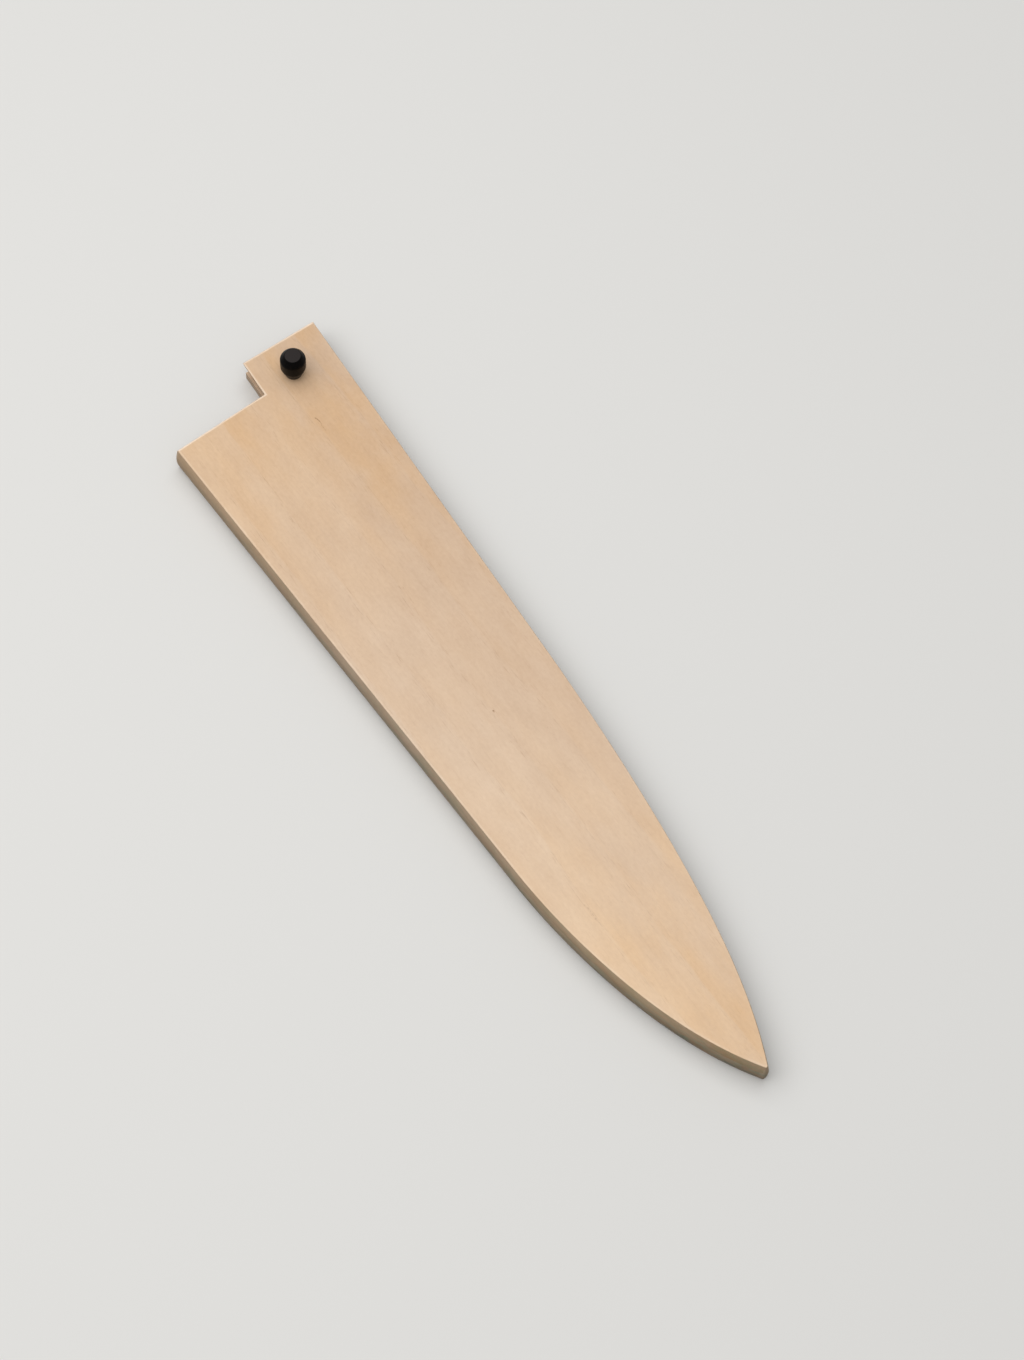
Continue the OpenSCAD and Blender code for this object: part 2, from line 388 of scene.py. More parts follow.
def wear_and_highlight_of_ring(n, ring_wear_and_highlight):
    """How pale a ring's points are, from wear and painted highlight. The long sides are the least pale,
    the spine's arris less than the edge's. The four corner points bound the sawn ends, which are
    paler, and palest where their arris is broken, a little less so at the notch."""
    wear_and_highlight = np.full(n, ring_wear_and_highlight * EDGE_PALENESS)
    wear_and_highlight[SPINE_FROM:] = ring_wear_and_highlight * SPINE_PALENESS
    wear_and_highlight[SIDE_CORNERS] = np.maximum(ring_wear_and_highlight, CUT_PALENESS)
    wear_and_highlight[NOTCH_CORNERS] = np.maximum(ring_wear_and_highlight * NOTCH_PALENESS, CUT_PALENESS)
    return wear_and_highlight


def wear_and_highlight_at_tip(points, wear_and_highlight):
    """The same, with the tip's end paler as a painted highlight: every point that lies past the tip's
    corner.
    """
    return np.where(points[:, 0] > TIP[0] - TIP_END_L, np.maximum(wear_and_highlight, TIP_PALENESS), wear_and_highlight)


print("worn at the edge, spine, notch and tip:", EDGE_PALENESS, SPINE_PALENESS, NOTCH_PALENESS, TIP_PALENESS)

# %% The two boards


def make_board(name, upper):
    """A face board: stacked outlines for its wall, both flat faces filled, and the pin's hole. The
    lower board's rings are the upper one's turned over, and its notch edge stands back."""
    profile = board_profile()
    if not upper:
        profile = [(TOTAL_T - z, out, inset, wear_and_highlight) for z, out, inset, wear_and_highlight in profile]
    loops = [outline(out, inset, NOTCH_LEAN * min(1, (TOTAL_T - z) / BOARD_T))
             for z, out, inset, _ in profile]
    hole = pin_hole()
    n, m = len(loops[0]), len(hole)
    wall = np.concatenate([at_height(loop, ring[0]) for loop, ring in zip(loops, profile)])
    points = np.concatenate([wall] + [at_height(hole, profile[end][0]) for end in (0, -1)])
    glued_hole, face_loop = len(wall), n * (len(loops) - 1)
    face = renumber(fill(loops[-1], hole), n, face_loop, glued_hole + m)
    glued = [corners[::-1] for corners in renumber(fill(loops[0], hole), n, 0, glued_hole)]
    bore = wall_quads(2, m)[:, ::-1] + glued_hole
    faces = wall_quads(len(loops), n).tolist() + bore.tolist() + face + glued
    wear_and_highlight = np.concatenate([wear_and_highlight_of_ring(n, ring[3]) for ring in profile[:-1]] + [np.zeros(n + 2 * m)])
    return make_object(name, points, faces, wear_and_highlight_at_tip(points, wear_and_highlight))


upper = make_board("upper_board", upper=True)
lower = make_board("lower_board", upper=False)
print("faces in a board:", len(upper.data.polygons))

# %% [markdown]
# ## The strips between the boards
#
# The spine strip runs along the whole spine and closes the tip; the edge strip runs along the
# cutting edge and butts against it. Their outer faces use the very points of the boards' outline,
# so that the glued seams close all round. Their inner faces stay a fixed distance inside.

# %% Where the strips' lines run
PAST_ENDS = 20 * MM
SIDE_SAMPLES = 6000
JOINT_WITHIN = 50 * MM
CROSSING_SAMPLES = 20000
STRAIGHT_L = 10 * MM


def y_at(x, side, out):
    """The height Y of an offset side at places x, read between closely spaced points of it."""
    points = side(np.linspace(-PAST_ENDS, TIP[0] + PAST_ENDS, SIDE_SAMPLES), out)
    return np.interp(x, points[:, 0], points[:, 1])


def crossing(edge_out):
    """The point where the spine strip's inner line crosses the edge's side moved out by edge_out."""
    x = np.linspace(TIP[0] - JOINT_WITHIN, TIP[0], CROSSING_SAMPLES)
    y = y_at(x, spine_side, -SPINE_STRIP_W)
    nearest = np.argmin(np.abs(y - y_at(x, edge_side, edge_out)))
    return np.array([x[nearest], y[nearest]])


def inner_line(side, width, skew, corner, end, steps=90):
    """The inner face of a strip in plan: from the sawn end to the end point, as an array."""
    first, second = side(corner[0] + np.array([0.0, STRAIGHT_L]), -width)
    start = meet(corner, [math.sin(skew), -math.cos(skew)], first, second - first)
    x = np.linspace(start[0], end[0], steps)
    return np.concatenate([[start], np.column_stack([x, y_at(x, side, -width)])[1:-1], [end]])


BUTT_OUTER = [crossing(out)[0] for out in (ARRIS, BULGE)]
BUTT_INNER = crossing(-EDGE_STRIP_W)
print("the strips butt together from", round(BUTT_INNER[0] / MM, 1), "mm to the tip")

# %% The strips
BUTT_CLEAR = 0.3 * MM


def split_outline(out):
    """The outline without the stretch where the strips butt: the edge's run, then the rest of it."""
    loop = outline(out, 0, 0)
    run = np.arange(len(loop)) < EDGE_POINTS
    before = run & (loop[:, 0] < min(BUTT_OUTER) - BUTT_CLEAR)
    after = ~run | (loop[:, 0] > max(BUTT_OUTER) + BUTT_CLEAR)
    return loop[before], loop[after][:-2]


def spine_plan(out):
    """The spine strip in plan: the butt joint, the tip, the spine, then back along the inner line."""
    butt = crossing(out)
    inner = inner_line(spine_side, SPINE_STRIP_W, NECK_SKEW, np.array([0.0, 0.0]), butt)
    return np.concatenate([[butt], split_outline(out)[1], inner[:-1]])


def edge_plan(out, joint_steps=12):
    """The edge strip in plan: the edge's wall, the butt joint, then back along the inner line."""
    x = np.linspace(crossing(out)[0], BUTT_INNER[0], joint_steps)
    joint = np.column_stack([x, y_at(x, spine_side, -SPINE_STRIP_W)])
    inner = inner_line(edge_side, EDGE_STRIP_W, HEEL_SKEW, HEEL_CORNER, BUTT_INNER)
    return np.concatenate([split_outline(out)[0], joint, inner[-2::-1]])


def make_strip(name, plan, levels=9):
    """A strip as plan loops stacked up the crown between the boards, with both glued faces filled."""
    heights = np.linspace(BOARD_T, TOTAL_T - BOARD_T, levels)
    loops = [plan(out) for out in bulge(heights)]
    n = len(loops[0])
    points = np.concatenate([at_height(loop, z) for loop, z in zip(loops, heights)])
    flat = fill(loops[0])
    lower_face = [face[::-1] for face in flat]
    upper_face = renumber(flat, n, n * (levels - 1), 0)
    faces = wall_quads(levels, n).tolist() + lower_face + upper_face
    return make_object(name, points, faces, wear_and_highlight_at_tip(points, np.zeros(len(points))))


spine_strip = make_strip("spine_strip_piece", spine_plan)
edge_strip = make_strip("edge_strip_piece", edge_plan)
print("faces in the strips:", len(spine_strip.data.polygons), len(edge_strip.data.polygons))

# %% [markdown]
# ## The pin
#
# The pin is turned on a small lathe, so it is one profile spun about its axis. Every corner of
# the profile is replaced by a short arc, because fine sandpaper on the lathe leaves none sharp.
# Each point of the profile is a radius and a height, in millimetres.

# %% The turned pin
PIN_END, SHAFT_FOOT, SHAFT_TOP = (1.85, 0.4), (2.25, 0.8), (2.5, 9.4)
HEAD_LOW, HEAD_HIGH, HEAD_TOP = (3.85, 13.1), (3.85, 17.0), (2.45, 18.9)
PIN_PROFILE = np.array([(0, PIN_END[1]), PIN_END, SHAFT_FOOT, SHAFT_TOP,
                        HEAD_LOW, HEAD_HIGH, HEAD_TOP, (0, HEAD_TOP[1])]) * MM
PIN_SOFTENING = np.array([0, 0.12, 0.15, 0.3, 0.6, 0.5, 0.15, 0]) * MM


def soften(profile, amounts, count=6):
    """The profile with each corner cut back on both sides and bridged by a quadratic curve."""
    t = np.linspace(0, 1, count)[:, None]
    rows = [profile[:1]]
    for before, corner, after, amount in zip(profile[:-2], profile[1:-1], profile[2:], amounts[1:-1]):
        p = corner + (before - corner) / np.linalg.norm(before - corner) * amount
        q = corner + (after - corner) / np.linalg.norm(after - corner) * amount
        rows.append((1 - t) ** 2 * p + 2 * t * (1 - t) * corner + t ** 2 * q)
    return np.concatenate(rows + [profile[-1:]])


def spin(name, profile, centre, around=128):
    """A solid of revolution: the profile's radius and height at every angle, closed at both poles."""
    angle = np.linspace(0, 2 * math.pi, around, endpoint=False)
    body = profile[1:-1]
    x = centre[0] + body[:, :1] * np.cos(angle)
    y = centre[1] + body[:, :1] * np.sin(angle)
    z = np.repeat(body[:, 1:], around, axis=1)
    grid = np.stack([x, y, z], axis=-1).reshape(-1, 3)
    poles = np.array([[*centre, profile[0, 1]], [*centre, profile[-1, 1]]])
    last = (len(body) - 1) * around
    ring = np.arange(around)
    low = [[len(grid), int((i + 1) % around), int(i)] for i in ring]
    top = [[len(grid) + 1, int(last + i), int(last + (i + 1) % around)] for i in ring]
    faces = wall_quads(len(body), around).tolist() + low + top
    return make_object(name, np.concatenate([grid, poles]), faces)


pin = spin("turned_pin", soften(PIN_PROFILE, PIN_SOFTENING), PIN_AT)
print("faces in the pin:", len(pin.data.polygons))

# %% [markdown]
# ## Building with nodes
#
# A material is a tree of small nodes. Making and linking them one by one reads badly, so a few
# helpers each add one node and give back its output, and a formula in nodes then reads almost as
# it would in plain code.

# %% Node helpers


def srgb(red, green, blue):
    """A colour seen on a screen, from 0 to 255, as the linear colour that a shader mixes."""
    values = [v / 255 for v in (red, green, blue)]
    return [v / 12.92 if v <= 0.04045 else ((v + 0.055) / 1.055) ** 2.4 for v in values] + [1.0]


def add(tree, kind, inputs=None, **settings):
    """A node of a kind, with its settings and its inputs, each a value or another node's output."""
    node = tree.nodes.new(kind)
    for name, value in settings.items():
        setattr(node, name, value)
    for name, value in (inputs or {}).items():
        socket = node.inputs[name]
        if isinstance(value, bpy.types.NodeSocket):
            tree.links.new(value, socket)
        else:
            socket.default_value = value
    return node


def maths(tree, operation, *values):
    """The result of a Math node on up to three values."""
    return add(tree, "ShaderNodeMath", dict(enumerate(values)), operation=operation).outputs[0]


def product(tree, first, *others):
    """The product of several values."""
    for value in others:
        first = maths(tree, "MULTIPLY", first, value)
    return first


def weigh(tree, *terms):
    """The sum of values, each times its weight."""
    total = 0.0
    for value, weight in terms:
        total = maths(tree, "MULTIPLY_ADD", value, weight, total)
    return total


def ramp(tree, value, low, high, to_low=0.0, to_high=1.0, smooth=True):
    """A value carried smoothly from one range to another and held at the ends."""
    node = add(tree, "ShaderNodeMapRange", {"Value": value, "From Min": low, "From Max": high,
                                            "To Min": to_low, "To Max": to_high},
               interpolation_type="SMOOTHSTEP" if smooth else "LINEAR")
    return node.outputs["Result"]


print("node helpers ready")

# %% Node helpers for places, noise and colours
PER_METRE = 1000


def vector_node(tree, operation, *vectors, **named):
    """A Vector Math node on one or two vectors, with its other inputs by their names."""
    return add(tree, "ShaderNodeVectorMath", {**dict(enumerate(vectors)), **named}, operation=operation)


def vector_maths(tree, operation, *vectors, **named):
    """The vector that a Vector Math node makes."""
    return vector_node(tree, operation, *vectors, **named).outputs[0]


def length_of(tree, vector):
    """The length of a vector."""
    return vector_node(tree, "LENGTH", vector).outputs["Value"]


def millimetres_from(tree, origin, place_socket):
    """A place in the frame as millimetres from an origin."""
    return add(tree, "ShaderNodeMapping", {
        "Vector": place_socket, "Scale": (PER_METRE, PER_METRE, PER_METRE),
        "Location": tuple(-v * PER_METRE for v in origin)}).outputs[0]


def stretched_noise(tree, place_socket, scale, detail=2.0, roughness=0.5, distortion=0.0):
    """Noise on a place that has been stretched by a scale along each axis, from 0 to 1."""
    scaled = vector_maths(tree, "MULTIPLY", place_socket, scale)
    noise = add(tree, "ShaderNodeTexNoise", {"Vector": scaled, "Scale": 1.0, "Detail": detail,
                                             "Roughness": roughness, "Distortion": distortion})
    return noise.outputs["Fac"]


def mix(tree, factor, first, second):
    """Two colours mixed by a factor."""
    node = add(tree, "ShaderNodeMix", data_type="RGBA")
    for index, value in ((0, factor), (6, first), (7, second)):
        if isinstance(value, bpy.types.NodeSocket):
            tree.links.new(value, node.inputs[index])
        else:
            node.inputs[index].default_value = value
    return node.outputs[2]


def new_material(name):
    """A new material, its node tree and the shader in it."""
    material = bpy.data.materials.new(name)
    material.use_nodes = True
    return material, material.node_tree, material.node_tree.nodes["Principled BSDF"]


def add_bump(tree, shader, height, distance, strength=0.2):
    """A height carved into the shader's normal."""
    bump = add(tree, "ShaderNodeBump", {"Height": height, "Strength": strength, "Distance": distance})
    tree.links.new(bump.outputs[0], shader.inputs["Normal"])


print("a middle grey in linear light:", round(srgb(128, 128, 128)[0], 3))

# %% [markdown]
# ## Wood as a solid texture
#
# Real wood has its pattern all through it, so the grain is worked out in space and not painted on
# a face: a cut across it then shows end grain by itself. One node group holds it, and each board
# gets its own offset, as if sawn from another place in the tree. The yearly rings lie 12 mm apart
# across the board, and the grain rises a little towards the spine.
#
# Painted light lies over that: the faces are painted darker towards the mouth and lighter towards
# the tip and the cutting edge, and the upright walls are darker and streaked, each layer in a tone
# of its own, partly painted shade.

# %% The numbers of the grain, in millimetres
GRAIN_TURN = math.atan(0.05)
RING_WIDTH, RING_AT, RING_LEAN = 12.0, -18.0, 0.9
PALE_AT, PALE_REACH = 130.0, 130.0
# where the faces' painted light falloff runs: darkest at the mouth, none towards the tip
PAINTED_FALLOFF_SPAN = 60.0, 240.0
# where the walls' painted shade is weakest, at the heel, and where it deepens, towards the tip
HEEL_END, TIP_HALF = (10.0, 60.0), (70.0, 240.0)
# each noise: its waves in a millimetre along the grain and across it, detail, roughness, distortion
WOOD_NOISES = {
    "blotch": (0.02, 0.055, 3, 0.55, 0.3),
    "warmth": (0.045, 0.11, 5, 0.62),
    "mottle": (0.06, 0.16, 5, 0.62),
    "speckle": (0.7, 1.1, 3, 0.6),
    "drift": (0.012, 0.03, 1),
    "wander": (0.045, 0.15, 2),
    "reach": (0.016, 0.05, 2),
    "threads": (0.05, 0.9, 3, 0.6),
    "grain": (0.2, 2.4, 3, 0.6),
    "fibre": (0.6, 7.0, 2),
    "pores": (0.7, 4.5, 1),
    "streaks": (0.14, 0.55, 3, 0.6),
}
RING_BENDS = (("drift", 8.0), ("wander", 2.5))
print("noises in the wood:", ", ".join(WOOD_NOISES))

# %% Parts of the wood group


def wood_noises(group, moved):
    """Every noise of the wood by its name, each stretched along the grain."""
    return {name: stretched_noise(group, moved, (along, across, across), *kind)
            for name, (along, across, *kind) in WOOD_NOISES.items()}


def ring_share(group, parts, noise):
    """How far through its yearly ring a point lies, from 0 to 1: the fraction left over when its
    place across the grain, bent by two noises, is divided by a ring's width."""
    across = maths(group, "ADD", parts[1], maths(group, "MULTIPLY", parts[2], RING_LEAN))
    for name, reach in RING_BENDS:
        bent = maths(group, "SUBTRACT", noise[name], 0.5)
        across = maths(group, "MULTIPLY_ADD", bent, reach, across)
    from_first = maths(group, "SUBTRACT", across, RING_AT)
    return maths(group, "FRACT", maths(group, "DIVIDE", from_first, RING_WIDTH))


def dashed_lines(group, ring, noise):
    """The fine short dashes in which each ring starts: the grain's peaks, strongest near its line."""
    from_middle = maths(group, "ABSOLUTE", maths(group, "SUBTRACT", ring, 0.5))
    near_line = ramp(group, maths(group, "SUBTRACT", 0.5, from_middle), 0.0, 0.16, 1.0, 0.0)
    return product(group, ramp(group, noise["grain"], 0.52, 0.78),
                   weigh(group, (near_line, 0.75), (1.0, 0.25)))


def golden_share(group, ring, off_middle, noise):
    """How golden the wood is: most just after a ring's line, in some stretches more than others,
    with warm clouds over that, and less of both in the board's pale middle."""
    golden = product(group, ramp(group, ring, 0.0, 0.07), ramp(group, ring, 0.07, 0.85, 0.8, 0.0),
                     ramp(group, noise["reach"], 0.34, 0.62, 0.0, 0.7))
    golden = maths(group, "ADD", golden, ramp(group, noise["warmth"], 0.35, 0.75, 0.0, 0.5))
    return product(group, golden, ramp(group, off_middle, 20, PALE_REACH, 0.3, 1.0))


def wall_tone_and_shade_share(group, facing_up, x, noise):
    """How much of the walls' darker tone and painted shade shows: none on a flat face, more where the
    crown turns down than where it turns up, uneven by the warm clouds, least at the heel and most
    towards the tip. The turn of the crown and the rise towards the tip are painted shade."""
    return product(group, ramp(group, maths(group, "ABSOLUTE", facing_up), 0.3, 0.9, 1.0, 0.0),
                   ramp(group, facing_up, -0.15, 0.25, 0.4, 0.22),
                   ramp(group, noise["warmth"], 0.3, 0.7, 0.7, 1.3),
                   ramp(group, x, *HEEL_END, 0.6, 1.0),
                   ramp(group, x, *TIP_HALF, 1.0, 1.9, smooth=False))


print("the rings are bent by:", RING_BENDS)

# %% The wood group


def new_group(name, inputs, outputs):
    """An empty node group with named sockets, each a name and a socket kind. With it come the
    sockets that it is given and those of its result."""
    group = bpy.data.node_groups.new(name, "ShaderNodeTree")
    for socket, kind in inputs:
        group.interface.new_socket(socket, in_out="INPUT", socket_type="NodeSocket" + kind)
    for socket, kind in outputs:
        group.interface.new_socket(socket, in_out="OUTPUT", socket_type="NodeSocket" + kind)
    return group, group.nodes.new("NodeGroupInput").outputs, group.nodes.new("NodeGroupOutput").inputs


def build_wood_group():
    """Pale magnolia wood in space, in millimetres. Each ring starts with a fine line of short
    dashes and a golden tone that fades away from it. Blotches, mottling, fibres, pores and end
    grain lie over that, and the whole board is palest in its middle. The faces are painted darker
    towards the mouth and lighter towards the tip and the cutting edge, a painted light falloff, and
    the walls mix in a darker tone, partly their own and partly painted shade, with rose-brown streaks."""
    group, given, result = new_group(
        "magnolia_wood",
        [("Place", "Vector"), ("Offset", "Vector"), ("Facing", "Vector"), ("Pale", "Color"),
         ("Honey", "Color"), ("Rosy", "Color"), ("Golden", "Color"), ("Brown", "Color"),
         ("Edge", "Color"), ("Tinge", "Float")],
        [("Color", "Color"), ("Roughness", "Float"), ("Height", "Float")])
    turned = add(group, "ShaderNodeMapping", {"Vector": given["Place"], "Rotation": (0, 0, -GRAIN_TURN)})
    moved = vector_maths(group, "ADD", turned.outputs[0], given["Offset"])
    noise = wood_noises(group, moved)
    x, y, _ = add(group, "ShaderNodeSeparateXYZ", {0: given["Place"]}).outputs
    facing = add(group, "ShaderNodeSeparateXYZ", {0: given["Facing"]}).outputs
    ring = ring_share(group, add(group, "ShaderNodeSeparateXYZ", {0: moved}).outputs, noise)
    end_grain = ramp(group, maths(group, "ABSOLUTE", facing[0]), 0.55, 0.95)
    pits = ramp(group, noise["pores"], 0.68, 0.8)
    off_middle = maths(group, "ABSOLUTE", maths(group, "SUBTRACT", x, PALE_AT))

    color = mix(group, ramp(group, off_middle, 0.0, PALE_REACH), given["Pale"], given["Honey"])
    # rosier by blotches and towards the spine; the darkening towards the spine is a painted light gradient
    rosy = weigh(group, (ramp(group, noise["blotch"], 0.36, 0.64), 0.4), (ramp(group, y, -50, 0), 0.6))
    color = mix(group, rosy, color, given["Rosy"])
    golden = maths(group, "ADD", golden_share(group, ring, off_middle, noise), given["Tinge"])
    color = mix(group, golden, color, given["Golden"])
    # painted light falloff: the faces are darker towards the mouth and lighter towards the tip
    painted_falloff = ramp(group, x, *PAINTED_FALLOFF_SPAN, 0.17, 0.0)
    threads = ramp(group, noise["threads"], 0.45, 0.8)
    dashes = dashed_lines(group, ring, noise)
    # the term in y is painted light as well: the faces are lighter towards the cutting edge
    shade = weigh(group, (noise["mottle"], 0.27), (noise["speckle"], 0.22), (threads, 0.05), (dashes, 0.3),
                  (noise["fibre"], 0.05), (painted_falloff, 1.0), (ramp(group, y, -50, -5), 0.045),
                  (1.0, -0.173), (pits, 0.14), (end_grain, 0.3))
    color = mix(group, shade, color, given["Brown"])
    # the walls' tone with rose-brown streaks, partly the walls' own and partly painted shade, deepest
    # where the crown turns down and towards the tip
    rosy_streaks = ramp(group, noise["streaks"], 0.38, 0.62, 0.0, 0.7)
    wall_shade_tone = mix(group, rosy_streaks, given["Edge"], given["Brown"])
    color = mix(group, wall_tone_and_shade_share(group, facing[2], x, noise), color, wall_shade_tone)

    roughness = weigh(group, (noise["fibre"], 0.14), (end_grain, 0.15), (1.0, 0.55))
    height = weigh(group, (noise["fibre"], 0.6), (noise["grain"], 0.4), (pits, -0.35))
    for name, value in (("Color", color), ("Roughness", roughness), ("Height", height)):
        group.links.new(value, result[name])
    return group


wood_group = build_wood_group()
print("nodes in the wood group:", len(wood_group.nodes))

# %% [markdown]
# ## The boards' own marks
#
# The upper board has a few small brown marks and some patches that are more golden or rosier than
# the rest. Each is a mask worked out from a distance: to a short line for a mark, and to a middle
# for a patch. Noise shifts the place first, so that no rim is a ruled line or a perfect ellipse.

# %% Masks
MARK_CORE = 0.3
PATCH_CORE = 0.25


def segment_mask(tree, place_socket, start, end, width):
    """1 close to the straight line between two points of the upper face, and 0 past the width."""
    from_start = vector_maths(tree, "SUBTRACT", place_socket, (*start, 0))
    along = (end[0] - start[0], end[1] - start[1], 0)
    dot = vector_node(tree, "DOT_PRODUCT", from_start, along).outputs["Value"]
    share = ramp(tree, dot, 0.0, along[0] ** 2 + along[1] ** 2, smooth=False)
    gap = vector_maths(tree, "SUBTRACT", from_start, vector_maths(tree, "SCALE", along, Scale=share))
    flat_gap = vector_maths(tree, "MULTIPLY", gap, (1, 1, 0))
    return ramp(tree, length_of(tree, flat_gap), MARK_CORE * width, width, 1.0, 0.0)


def patch_mask(tree, place_socket, middle, half_sizes, strength):
    """A soft round patch: the strength at its middle, falling to 0 at its half sizes."""
    sizes = (1 / half_sizes[0], 1 / half_sizes[1], 0)
    from_middle = vector_maths(tree, "SUBTRACT", place_socket, (*middle, 0))
    distance = length_of(tree, vector_maths(tree, "MULTIPLY", from_middle, sizes))
    return ramp(tree, distance, PATCH_CORE, 1.0, strength, 0.0)


print("masks ready")

# %% Patches, marks, and rubbed edges with painted highlight
BARE_AND_LIT, MARK = srgb(250, 230, 208), srgb(140, 98, 64)
CLOUD_WAVES, CLOUD_SHIFT = 0.09, 16.0
RUBBED_AND_LIT = 0.85


def patch_tinge(tree, place_socket, patches):
    """How golden all the patches make a point, with their rims shifted about by a cloudy noise."""
    cloudy = add(tree, "ShaderNodeTexNoise", {"Vector": place_socket, "Scale": CLOUD_WAVES, "Detail": 4.0})
    spread = vector_maths(tree, "SUBTRACT", cloudy.outputs["Color"], (0.5, 0.5, 0.5))
    spread = vector_maths(tree, "SCALE", spread, Scale=CLOUD_SHIFT)
    cloudy_place = vector_maths(tree, "ADD", place_socket, spread)
    return weigh(tree, *((patch_mask(tree, cloudy_place, *patch), 1.0) for patch in patches))


def add_marks(tree, color, place_socket, marks):
    """The colour with its brown marks, each a line that wavers and has gaps."""
    waver = stretched_noise(tree, place_socket, (0.7, 0.7, 0.7), 2)
    gaps = ramp(tree, stretched_noise(tree, place_socket, (1.3, 1.3, 1.3), 1), 0.35, 0.6, 0.2, 1.0)
    shift = add(tree, "ShaderNodeCombineXYZ", {1: maths(tree, "SUBTRACT", waver, 0.5)}).outputs[0]
    wavy = vector_maths(tree, "ADD", place_socket, shift)
    for start, end, width, strength in marks:
        mask = product(tree, segment_mask(tree, wavy, start, end, width), gaps, strength)
        color = mix(tree, mask, color, MARK)
    return color


def rub_bare_and_highlight(tree, color, place_socket):
    """The colour with its pale places rubbed bare and painted with highlight, unevenly where they are
    only a little pale.
    """
    # the paleness read here is partly wear and partly a painted highlight on the arrises, sawn ends and
    # tip
    wear_and_highlight = add(tree, "ShaderNodeAttribute", attribute_name="wear_and_highlight").outputs["Fac"]
    uneven = ramp(tree, stretched_noise(tree, place_socket, (0.09, 0.2, 0.2), 3), 0.35, 0.65, 0.25, 1.0)
    wear_and_highlight = product(tree, wear_and_highlight, maths(tree, "MAXIMUM", uneven, wear_and_highlight))
    return mix(tree, product(tree, wear_and_highlight, RUBBED_AND_LIT), color, BARE_AND_LIT)


print("finish helpers ready")

# %% The wood materials
PALE, HONEY, ROSY = srgb(239, 215, 189), srgb(243, 211, 174), srgb(232, 205, 177)
GOLDEN, BROWN = srgb(235, 198, 156), srgb(160, 118, 82)
# the walls' greenish grey tones, partly the walls' own wood and partly painted shade
WARM_WALL_SHADE, OLIVE_WALL_SHADE, GREY_WALL_SHADE = srgb(114, 122, 84), srgb(122, 138, 114), srgb(120, 128, 114)
WOOD_DEPTH, WOOD_SHINE = 0.06 * MM, 0.3
UPPER_MARKS = (((29.0, -16.4), (30.6, -15.9), 0.26, 0.6), ((30.6, -15.9), (34.2, -16.1), 0.2, 0.4),
               ((200.6, -33.3), (208.3, -32.8), 0.25, 0.22), ((137.5, -23.1), (137.8, -23.1), 0.45, 0.7))
UPPER_PATCHES = (((44.0, -11.0), (46.0, 10.0), 0.5), ((26.0, -35.0), (24.0, 7.0), 0.3),
                 ((240.0, -19.0), (30.0, 13.0), 0.22), ((15.0, -3.5), (15.0, 6.0), -0.45))


def wood_material(name, offset, edge, marks=(), patches=()):
    """Raw wood, finely smoothed with sandpaper: the shared grain with this board's own offset and its
    walls' tone, partly painted shade, its arris rubbed bare and painted with highlight, small brown
    marks, each a start, an end, a width and a strength, and golden patches, each a middle, half sizes
    and a strength, negative where the wood is rosier."""
    material, tree, shader = new_material(name)
    where = add(tree, "ShaderNodeTexCoord").outputs
    from_corner = millimetres_from(tree, (CORNER.x, CORNER.y, TOTAL_T), where["Object"])
    grain = add(tree, "ShaderNodeGroup", node_tree=wood_group)
    tree.links.new(from_corner, grain.inputs["Place"])
    tree.links.new(where["Normal"], grain.inputs["Facing"])
    for socket, value in (("Offset", offset), ("Pale", PALE), ("Honey", HONEY), ("Rosy", ROSY),
                          ("Golden", GOLDEN), ("Brown", BROWN), ("Edge", edge)):
        grain.inputs[socket].default_value = value
    if patches:
        tree.links.new(patch_tinge(tree, from_corner, patches), grain.inputs["Tinge"])
    color = grain.outputs["Color"]
    if marks:
        color = add_marks(tree, color, from_corner, marks)
    tree.links.new(rub_bare_and_highlight(tree, color, from_corner), shader.inputs["Base Color"])
    tree.links.new(grain.outputs["Roughness"], shader.inputs["Roughness"])
    add_bump(tree, shader, grain.outputs["Height"], WOOD_DEPTH)
    shader.inputs["Specular IOR Level"].default_value = WOOD_SHINE
    return material


upper_wood = wood_material("upper_board_wood", (0, 0, 0), WARM_WALL_SHADE, UPPER_MARKS, UPPER_PATCHES)
lower_wood = wood_material("lower_board_wood", (-310, 74.5, 43), GREY_WALL_SHADE)
strip_wood = wood_material("strip_wood_finish", (530, -66.5, -28), OLIVE_WALL_SHADE)
print("wood materials:", [m.name for m in (upper_wood, lower_wood, strip_wood)])

# %% [markdown]
# ## Ebony
#
# Ebony is almost black, with faint brown streaks along the grain, here the pin's length. The lathe
# leaves very fine rings round it. Its flat top is grey and a little rougher, the grey a painted
# reflection of the lamp. Polish leaves a soft gloss that isn't a lacquer, here a faint one, so that
# the pin stays black under the lamp.

# %% The ebony material
EBONY, EBONY_STREAK, EBONY_FIBRE = srgb(10, 9, 9), srgb(24, 17, 15), srgb(7, 6, 6)
# the grey of the pin's flat top is a painted reflection of the lamp, faded out over a thin rim
REFLECTED_GREY, SANDED_ROUGHER = srgb(50, 46, 45), 0.35
TOP_FADE = 0.15
TURNING_WAVES = 26.0
EBONY_DEPTH, EBONY_SHINE = 0.03 * MM, 0.05


